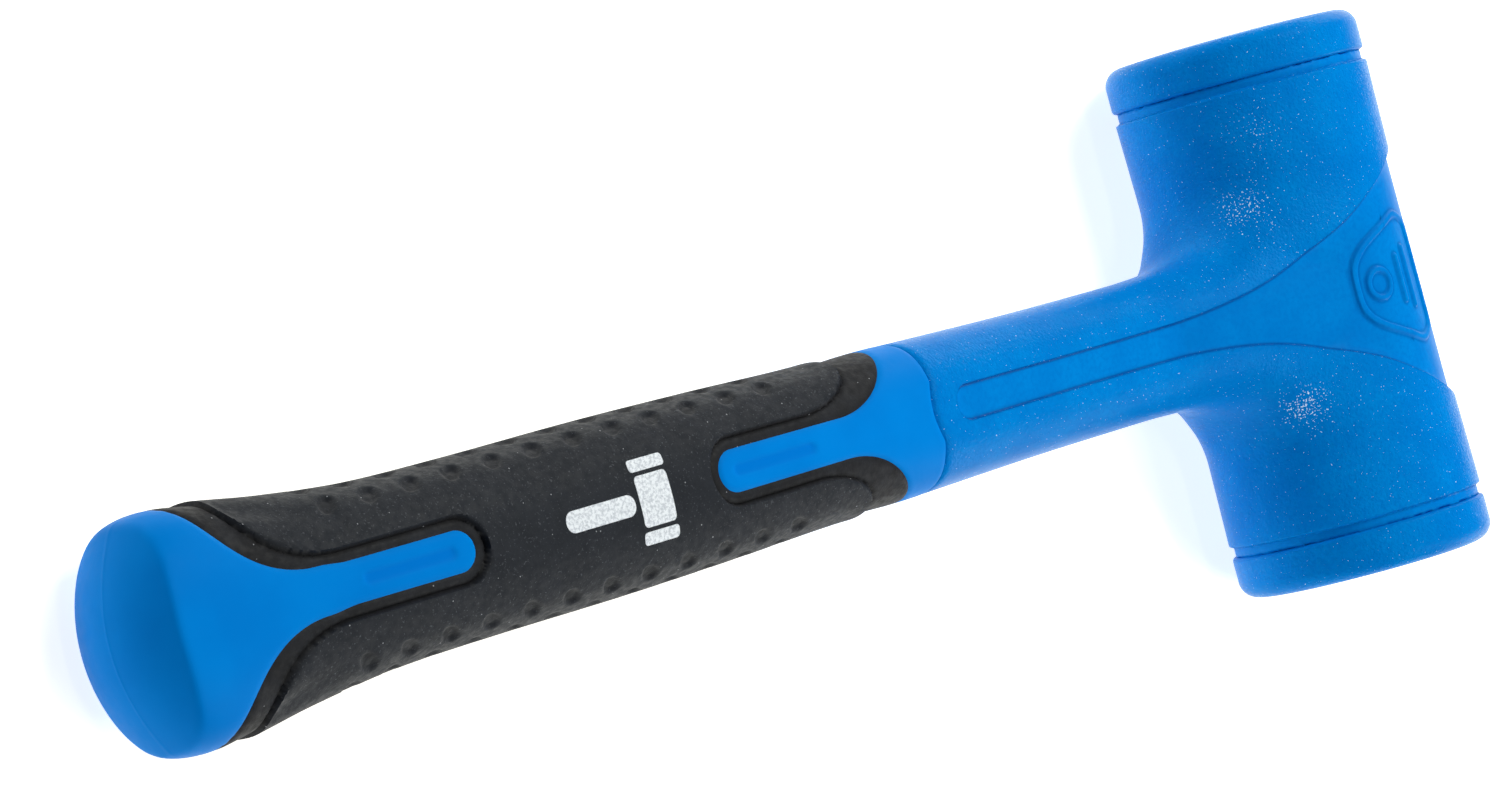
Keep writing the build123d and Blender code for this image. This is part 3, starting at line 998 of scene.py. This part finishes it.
def skin_normals(x, psi):
    """Outward normals of the even skin."""
    y, z = skin_point(x, psi)
    y1, z1 = skin_point(x, psi + 0.01)
    y2, z2 = skin_point(x - 0.05, psi)
    around = np.stack((np.zeros_like(x), y1 - y, z1 - z), -1)
    along = np.stack((np.full_like(x, -0.05), y2 - y, z2 - z), -1)
    normal = np.cross(along, around)
    normal /= np.linalg.norm(normal, axis=-1, keepdims=True)
    flip = np.sign(normal[..., 1] * y + normal[..., 2] * z)
    return normal * flip[..., None]


def ring_faces(near, far):
    """Quads between two rings of vertices."""
    count = len(near)
    return [(near[k], near[(k + 1) % count], far[(k + 1) % count], far[k]) for k in range(count)]


def grip_pieces():
    x, psi = grip_grid()
    x, psi, on_edge = snap_grid(x, psi)
    w = folded(psi)
    y, z = skin_point(x, psi)
    skin = np.stack((x, y, z), -1)
    normal = skin_normals(x, psi)
    height = skin_height(x, w)
    height -= 0.18 * np.exp(-(((x[:1] - x) / 0.35) ** 2))
    outer = skin + normal * height[..., None]
    outer[0, :, 0] = skin[0, :, 0]
    under = skin - normal * SLEEVE_THICKNESS
    rows, columns = x.shape
    sign = np.sign(np.where(on_edge, 0.0, sleeve_inside(x, w)))
    index = np.arange(rows * columns).reshape(rows, columns)
    black, blue = [], []
    for i in range(rows - 1):
        for k in range(columns):
            n = (k + 1) % columns
            quad = [(i, k), (i + 1, k), (i + 1, n), (i, n)]
            signs = [sign[c] for c in quad]
            ids = [int(index[c]) for c in quad]
            if max(signs) > 0 and min(signs) < 0:
                turn = 0 if signs[0] == 0 and signs[2] == 0 else 1
                ids = ids[turn:] + ids[:turn]
                signs = signs[turn:] + signs[:turn]
                for tri, s in ((ids[:3], signs[1]), ((ids[2], ids[3], ids[0]), signs[3])):
                    (black if s > 0 else blue).append(tuple(tri))
            elif max(signs) > 0:
                black.append(tuple(ids))
            elif min(signs) < 0:
                blue.append(tuple(ids))
            else:
                cx = np.mean([x[c] for c in quad])
                cw = np.mean([w[c] for c in quad])
                (black if sleeve_inside(np.array(cx), np.array(cw)) > 0 else blue).append(tuple(ids))
    flat_outer = outer.reshape(-1, 3)
    flat_under = under.reshape(-1, 3)
    count = len(flat_outer)

    def rim_walls(faces):
        """Quads that join the outer and under copies along the open edges of the faces."""
        seen = {}
        for face in faces:
            for a, b in zip(face, face[1:] + face[:1]):
                key = (min(a, b), max(a, b))
                seen[key] = None if key in seen else (a, b)
        return [(a, b, b + count, a + count) for pair in seen.values() if pair for a, b in (pair,)]

    # pad mask, lowered in the pits: the darker pits are painted shade
    pad_tone_pit_shade = (smooth(pad_inside(x, w) / PAD_WALL) * (1 - 0.5 * dimple_depth(x, w))).ravel()
    walls = rim_walls(black)
    faces = black + [tuple(v + count for v in reversed(f)) for f in black] + walls
    points = np.concatenate((flat_outer, flat_under))
    # painted shade: a dark line at the foot of the pad's wall
    foot = np.exp(-(((pad_inside(x, w) + 0.05) / 0.32) ** 2)).ravel()
    marks = {"pad": np.tile(pad_tone_pit_shade, 2), "line": np.tile(foot, 2)}
    sleeve = make_piece("grip_sleeve_moulded", points, faces, RUBBER, marks)
    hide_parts("grip_sleeve")

    # Core: blue faces at the surface, the bed of the sleeve just under it, the domed butt and the joint face
    bed = skin - normal * (SLEEVE_THICKNESS + BED_GAP)
    points = [flat_outer, bed.reshape(-1, 3)]
    faces = list(blue) + [tuple(v + count for v in f) for f in black] + walls
    size = 2 * count
    last = [int(v) for v in index[-1]]
    rim = outer[-1]
    rings = 34
    for ring in range(1, rings):
        part = (1 - ring / rings) ** 0.92
        yz = rim[:, 1:] * part
        points.append(np.column_stack((dome_x(yz[:, 0], yz[:, 1]), yz)))
        here = list(range(size, size + columns))
        faces += ring_faces(here, last)
        last = here
        size += columns
    points.append(np.array([[BUTT_TIP_X, 0.0, 0.0]]))
    faces += [(last[k], size, last[(k + 1) % columns]) for k in range(columns)]
    size += 1
    last = [int(v) for v in index[0]]
    rim = skin[0]
    angle = np.arctan2(rim[:, 1], rim[:, 2])
    hole = np.stack((CORE_RADIUS * np.sin(angle), CORE_RADIUS * np.cos(angle)), 1)
    stops = [(t, JOINT_X) for t in (0.1, 0.3, 0.5, 0.7, 0.85, 1.0)]
    stops += [(1.0, JOINT_X + (CORE_END_X - JOINT_X) * t) for t in (0.02, 0.25, 0.5, 0.75, 1.0)]
    for t, base in stops:
        yz = rim[:, 1:] * (1 - t) + hole * t
        bulge = joint_bulge(yz[:, 0]) if base == JOINT_X else 0
        points.append(np.column_stack((np.full(columns, base) - bulge, yz)))
        here = list(range(size, size + columns))
        faces += ring_faces(last, here)
        last = here
        size += columns
    points.append(np.array([[CORE_END_X, 0.0, 0.0]]))
    faces += [(last[k], last[(k + 1) % columns], size) for k in range(columns)]
    points = np.concatenate(points)
    hollow = np.zeros(len(points))
    # painted shade: mask of the tongues' sunk slots, which the core's finish draws darker
    hollow[:count] = smooth(0.5 + slot_inside(x, w) / 0.8).ravel()
    seam = np.exp(-((points[:, 2] / 0.3) ** 2)) * (points[:, 0] < -262.5)
    marks = {"hollow": hollow, "seam": seam}
    core = make_piece("grip_core_moulded", points, faces, GRIP_BLUE, marks)
    soften_crease(core)
    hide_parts("grip_core")


def soften_crease(piece):
    """Rounds the edge between the butt's skin and its dome."""
    mesh = piece.data
    p = tool_points(mesh)
    gap = p[:, 0] - dome_x(p[:, 1], p[:, 2])
    across = np.abs(p[:, 1]) / through(GRIP_STATIONS, p[:, 0], 1)
    upward = np.abs(p[:, 2]) / through(GRIP_STATIONS, p[:, 0], 2)
    level = (across**SECTION_POWER + upward**SECTION_POWER) ** (1 / SECTION_POWER)
    weight = smooth(1.6 - gap / 2.0) * smooth((level - 0.76) / 0.12)
    edges = np.zeros(len(mesh.edges) * 2, int)
    mesh.edges.foreach_get("vertices", edges)
    a, b = edges.reshape(-1, 2).T
    degree = np.maximum(np.bincount(a, minlength=len(p)) + np.bincount(b, minlength=len(p)), 1)
    for _ in range(5):
        total = np.zeros_like(p)
        np.add.at(total, a, p[b])
        np.add.at(total, b, p[a])
        p += (total / degree[:, None] - p) * (0.6 * weight)[:, None]
    mesh.vertices.foreach_set("co", placed(p).ravel())
    mesh.update()
    mesh.set_sharp_from_angle(angle=SHARP_ANGLE)


grip_pieces()


# ---- printed mark: a plain mallet pictogram lying on the rubber
# handle, head and the two faces: ends along X, middle and half-width along Y, corner radius
MARK_PATCHES = (
    (-193.5, -178.6, -0.6, 1.7, 1.6),
    (-177.6, -170.6, -0.6, 4.0, 0.8),
    (-177.9, -170.3, 5.0, 0.95, 0.6),
    (-177.9, -170.3, -6.2, 0.95, 0.6),
)
INK_THICKNESS = 0.035
INK_ROOT = 0.1


def mark_patch(x_low, x_high, y_mid, half_width, radius):
    """A thin rounded patch over the pad between two stations."""
    rows, columns = 26, 14
    edge = (1 - np.cos(np.linspace(0, pi, rows))) / 2
    xs = x_low + (x_high - x_low) * edge
    near = np.minimum(xs - x_low, x_high - xs)
    inset = radius - np.sqrt(np.maximum(radius**2 - np.maximum(radius - near, 0) ** 2, 0))
    across = np.linspace(-1, 1, columns)
    y = y_mid + (half_width - inset)[:, None] * across
    x = np.broadcast_to(xs[:, None], y.shape)
    psi = y / GIRTH
    for _ in range(8):
        here = skin_point(x, psi)[0]
        psi = psi + (y - here) / GIRTH
    base_y, base_z = skin_point(x, psi)
    skin = np.stack((x, base_y, base_z), -1)
    normal = skin_normals(x, psi)
    height = skin_height(x, folded(psi))
    top = skin + normal * (height + INK_THICKNESS)[..., None]
    low = skin + normal * (height - INK_ROOT)[..., None]
    points = np.concatenate((top.reshape(-1, 3), low.reshape(-1, 3)))
    index = np.arange(rows * columns).reshape(rows, columns)
    faces = []
    for i in range(rows - 1):
        for k in range(columns - 1):
            quad = (index[i, k], index[i, k + 1], index[i + 1, k + 1], index[i + 1, k])
            faces.append(tuple(int(v) for v in quad))
            faces.append(tuple(int(v) + rows * columns for v in reversed(quad)))
    loop = list(index[0]) + list(index[1:, -1]) + list(index[-1, -2::-1]) + list(index[-2:0:-1, 0])
    for a, b in zip(loop, loop[1:] + loop[:1]):
        faces.append((int(b), int(a), int(a) + rows * columns, int(b) + rows * columns))
    return points, faces


def printed_mark():
    points, faces = [], []
    size = 0
    for patch in MARK_PATCHES:
        p, f = mark_patch(*patch)
        points.append(p)
        faces += [tuple(v + size for v in face) for face in f]
        size += len(p)
    make_piece("grip_print", np.concatenate(points), faces, INK)


printed_mark()

# ---------------------------------------------------------------- floor and light
FLOOR_REACH = 3.0
FLOOR_STEPS = 24
FLOOR_GLOW = (1.0, 0.97, 0.88, 1)
FLOOR_GLOW_STRENGTH = 0.8


def floor_piece():
    """A wide, flat, pale sheet under the tool, whose glow keeps the ground white and its shadows light."""
    points, faces = [], []
    stops = [FLOOR_REACH * (2 * i / FLOOR_STEPS - 1) for i in range(FLOOR_STEPS + 1)]
    for x in stops:
        for y in stops:
            points.append((x, y, 0.0))
    for i in range(FLOOR_STEPS):
        for k in range(FLOOR_STEPS):
            a = i * (FLOOR_STEPS + 1) + k
            faces.append((a, a + FLOOR_STEPS + 1, a + FLOOR_STEPS + 2, a + 1))
    mesh = bpy.data.meshes.new("floor")
    mesh.from_pydata(points, [], faces)
    floor = bpy.data.objects.new("floor", mesh)
    bpy.context.scene.collection.objects.link(floor)
    f = Finish("pale_floor", 0.9, specular=0.1)
    f.colour(f.mix(f.noise(400.0), (0.93, 0.93, 0.93, 1), (0.96, 0.96, 0.96, 1)))
    f.shader.inputs["Emission Color"].default_value = FLOOR_GLOW
    f.shader.inputs["Emission Strength"].default_value = FLOOR_GLOW_STRENGTH
    mesh.materials.append(f.material)


floor_piece()


def softbox(name, at, aim, size, power, colour=(1, 1, 1)):
    """An area light in tool millimetres, aimed at a point on the tool, its second side along the head."""
    light = bpy.data.lights.new(name, "AREA")
    light.shape = "RECTANGLE"
    light.size, light.size_y = size[0] * MM, size[1] * MM
    light.energy = power
    light.color = colour
    lamp = bpy.data.objects.new(name, light)
    start, end = Vector(placed(at)), Vector(placed(aim))
    away = (start - end).normalized()
    side = TOOL_Y.cross(away).normalized()
    turn = Matrix((side, away.cross(side), away)).transposed()
    lamp.matrix_world = Matrix.Translation(start) @ turn.to_4x4()
    bpy.context.scene.collection.objects.link(lamp)


KEY_COLOUR = (1.0, 1.0, 0.92)
softbox("key_left", (180, 440, 810), (-60, 0, 0), (450, 450), 7.0, KEY_COLOUR)
softbox("key_right", (200, -620, 680), (-60, 0, 0), (500, 500), 4.65, KEY_COLOUR)
softbox("crown_left", (550, 450, 150), (0, 0, 0), (300, 300), 1.1)
softbox("crown_right", (550, -450, 150), (0, 0, 0), (300, 300), 1.1)
softbox("glint", (-330, 0, 900), (-10, 0, 20), (26, 300), 0.4)

world = bpy.data.worlds.new("studio")
bpy.context.scene.world = world
world.use_nodes = True
sky = world.node_tree.nodes["Background"]
sky.inputs["Color"].default_value = (0.45, 0.68, 1.0, 1.0)
sky.inputs["Strength"].default_value = 0.14
bpy.context.scene.view_settings.view_transform = "Standard"
bpy.context.scene.view_settings.look = "None"
